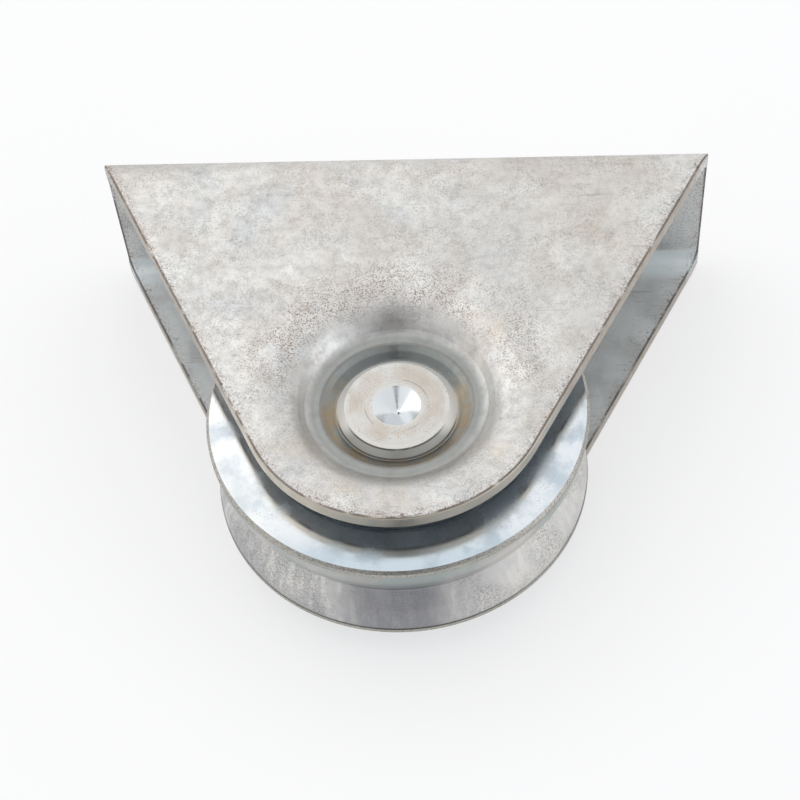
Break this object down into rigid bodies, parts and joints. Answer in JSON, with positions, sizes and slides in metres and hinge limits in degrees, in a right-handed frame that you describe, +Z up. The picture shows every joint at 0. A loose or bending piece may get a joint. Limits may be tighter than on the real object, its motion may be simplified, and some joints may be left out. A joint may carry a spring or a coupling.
{
  "type": "gate wheel",
  "caption": "Grooved steel wheel on a sealed ball bearing, riveted between the cheeks of a folded sheet bracket, for a sliding gate.",
  "frame": {"origin": "middle of the bracket's flat web, on its top face, where the gate's frame is fastened", "axes": "+Z up into the gate, X along the rail, Y along the axle with the near cheek at -Y"},
  "size_m": [0.136, 0.039, 0.107],
  "materials": {
    "zinc_sheet": "zinc-plated, mottled and speckled, thin rust along the sheared edges",
    "zinc_turned": "turned and zinc-plated, bright and slightly blue",
    "pin_steel": "turned head, polished bevel and centre",
    "washer_steel": "zinc-plated",
    "bearing_steel": "ground",
    "ball_steel": "polished",
    "cage_steel": "pressed sheet",
    "shield_steel": "pressed sheet, greasy",
    "spring_steel": "blackened spring steel"
  },
  "bodies": {
    "bracket": {"bracket": "zinc_sheet", "axle_pin": "pin_steel", "spacer_near": "washer_steel", "spacer_far": "washer_steel", "bearing_inner_ring": "bearing_steel"},
    "wheel": {"wheel": "zinc_turned", "bearing_outer_ring": "bearing_steel", "shield_near": "shield_steel", "shield_far": "shield_steel", "retaining_ring": "spring_steel"},
    "ball_cage": {"cage_near": "cage_steel", "cage_far": "cage_steel", "cage_rivets": "cage_steel"},
    "ball_1": {"ball_1": "ball_steel"},
    "ball_2": {"ball_2": "ball_steel"},
    "ball_3": {"ball_3": "ball_steel"},
    "ball_4": {"ball_4": "ball_steel"},
    "ball_5": {"ball_5": "ball_steel"},
    "ball_6": {"ball_6": "ball_steel"},
    "ball_7": {"ball_7": "ball_steel"},
    "ball_8": {"ball_8": "ball_steel"}
  },
  "joints": [
    {"name": "wheel_spin", "type": "hinge", "parent": "bracket", "child": "wheel", "pos_m": [0, 0, -0.067], "axis": [0, 1, 0], "continuous": true},
    {"name": "cage_spin", "type": "hinge", "parent": "bracket", "child": "ball_cage", "pos_m": [0, 0, -0.067], "axis": [0, 1, 0], "continuous": true},
    {"name": "ball_1_spin", "type": "hinge", "parent": "ball_cage", "child": "ball_1", "pos_m": [0.0125, 0, -0.067], "axis": [0, 1, 0], "continuous": true},
    {"name": "ball_2_spin", "type": "hinge", "parent": "ball_cage", "child": "ball_2", "pos_m": [0.00884, 0, -0.05816], "axis": [0, 1, 0], "continuous": true},
    {"name": "ball_3_spin", "type": "hinge", "parent": "ball_cage", "child": "ball_3", "pos_m": [0, 0, -0.0545], "axis": [0, 1, 0], "continuous": true},
    {"name": "ball_4_spin", "type": "hinge", "parent": "ball_cage", "child": "ball_4", "pos_m": [-0.00884, 0, -0.05816], "axis": [0, 1, 0], "continuous": true},
    {"name": "ball_5_spin", "type": "hinge", "parent": "ball_cage", "child": "ball_5", "pos_m": [-0.0125, 0, -0.067], "axis": [0, 1, 0], "continuous": true},
    {"name": "ball_6_spin", "type": "hinge", "parent": "ball_cage", "child": "ball_6", "pos_m": [-0.00884, 0, -0.07584], "axis": [0, 1, 0], "continuous": true},
    {"name": "ball_7_spin", "type": "hinge", "parent": "ball_cage", "child": "ball_7", "pos_m": [0, 0, -0.0795], "axis": [0, 1, 0], "continuous": true},
    {"name": "ball_8_spin", "type": "hinge", "parent": "ball_cage", "child": "ball_8", "pos_m": [0.00884, 0, -0.07584], "axis": [0, 1, 0], "continuous": true}
  ],
  "couplings": [
    {"joint": "cage_spin", "follows": "wheel_spin", "ratio": 0.61906},
    {"joint": "ball_1_spin", "follows": "wheel_spin", "ratio": 1.9807},
    {"joint": "ball_2_spin", "follows": "wheel_spin", "ratio": 1.9807},
    {"joint": "ball_3_spin", "follows": "wheel_spin", "ratio": 1.9807},
    {"joint": "ball_4_spin", "follows": "wheel_spin", "ratio": 1.9807},
    {"joint": "ball_5_spin", "follows": "wheel_spin", "ratio": 1.9807},
    {"joint": "ball_6_spin", "follows": "wheel_spin", "ratio": 1.9807},
    {"joint": "ball_7_spin", "follows": "wheel_spin", "ratio": 1.9807},
    {"joint": "ball_8_spin", "follows": "wheel_spin", "ratio": 1.9807}
  ]
}
